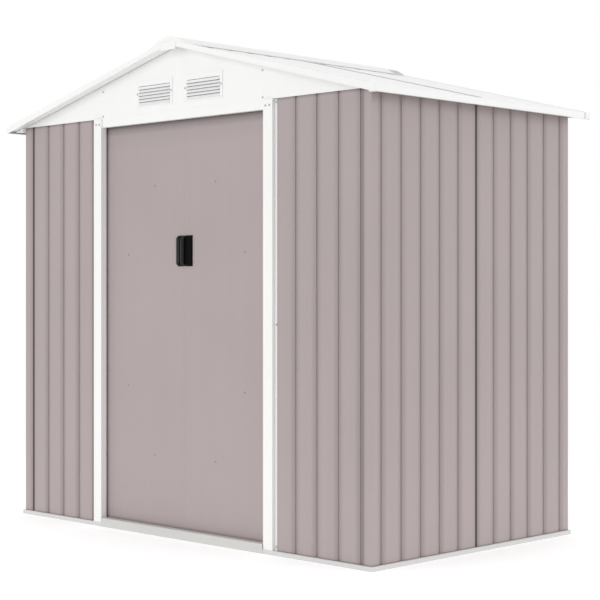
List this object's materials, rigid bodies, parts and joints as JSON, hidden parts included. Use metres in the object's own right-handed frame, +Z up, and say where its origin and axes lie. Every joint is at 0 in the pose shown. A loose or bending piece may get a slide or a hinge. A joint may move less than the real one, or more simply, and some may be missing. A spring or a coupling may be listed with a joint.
{
  "type": "metal storage shed",
  "caption": "Garden shed of ribbed steel sheet with a low apex roof, louvred gable vents and a pair of sliding doors.",
  "frame": {"origin": "on the ground under the middle of the shed", "axes": "+X to the right seen from the front, +Y from the doors to the back wall, +Z up"},
  "size_m": [2.0486, 1.2268, 1.8697],
  "materials": {
    "wall_paint": "taupe paint with a faint satin sheen on ribbed steel sheet",
    "door_paint": "the walls' taupe paint on flat steel sheet",
    "trim_paint": "white satin paint on folded steel sheet",
    "roof_paint": "white satin paint on ribbed steel sheet",
    "vent_plastic": "white moulded plastic louvres",
    "base_coat": "pale grey coating on folded steel rails",
    "rail_zinc": "galvanised steel rails inside",
    "handle_plastic": "black moulded plastic",
    "runner_plastic": "pale nylon runners and guide shoes"
  },
  "bodies": {
    "shell": {"wall_right_front": "wall_paint", "wall_right_back": "wall_paint", "wall_left_front": "wall_paint", "wall_left_back": "wall_paint", "wall_front_right": "wall_paint", "wall_front_left": "wall_paint", "wall_back_right": "wall_paint", "wall_back_middle": "wall_paint", "wall_back_left": "wall_paint", "jamb_right": "trim_paint", "jamb_left": "trim_paint", "door_header": "trim_paint", "gable_front_right": "trim_paint", "gable_front_left": "trim_paint", "gable_back_right": "trim_paint", "gable_back_left": "trim_paint", "verge_trim_front_right": "trim_paint", "verge_trim_front_left": "trim_paint", "verge_trim_back_right": "trim_paint", "verge_trim_back_left": "trim_paint", "eave_trim_right": "trim_paint", "eave_trim_left": "trim_paint", "ridge_cap": "trim_paint", "roof_right_front": "roof_paint", "roof_right_back": "roof_paint", "roof_left_front": "roof_paint", "roof_left_back": "roof_paint", "vents_front": "vent_plastic", "vents_back": "vent_plastic", "base_rail_front": "base_coat", "base_rail_back": "base_coat", "base_rail_right": "base_coat", "base_rail_left": "base_coat", "door_sill": "base_coat", "top_rail_front": "rail_zinc", "top_rail_back": "rail_zinc", "top_rail_right": "rail_zinc", "top_rail_left": "rail_zinc", "ridge_beam": "rail_zinc"},
    "right_door": {"door_right": "door_paint", "handle_right": "handle_plastic", "runners_right": "runner_plastic"},
    "left_door": {"door_left": "door_paint", "handle_left": "handle_plastic", "runners_left": "runner_plastic"}
  },
  "joints": [
    {"name": "right_door_slide", "type": "slide", "parent": "shell", "child": "right_door", "axis": [1, 0, 0], "range_m": [0, 0.4]},
    {"name": "left_door_slide", "type": "slide", "parent": "shell", "child": "left_door", "axis": [-1, 0, 0], "range_m": [0, 0.4]}
  ]
}
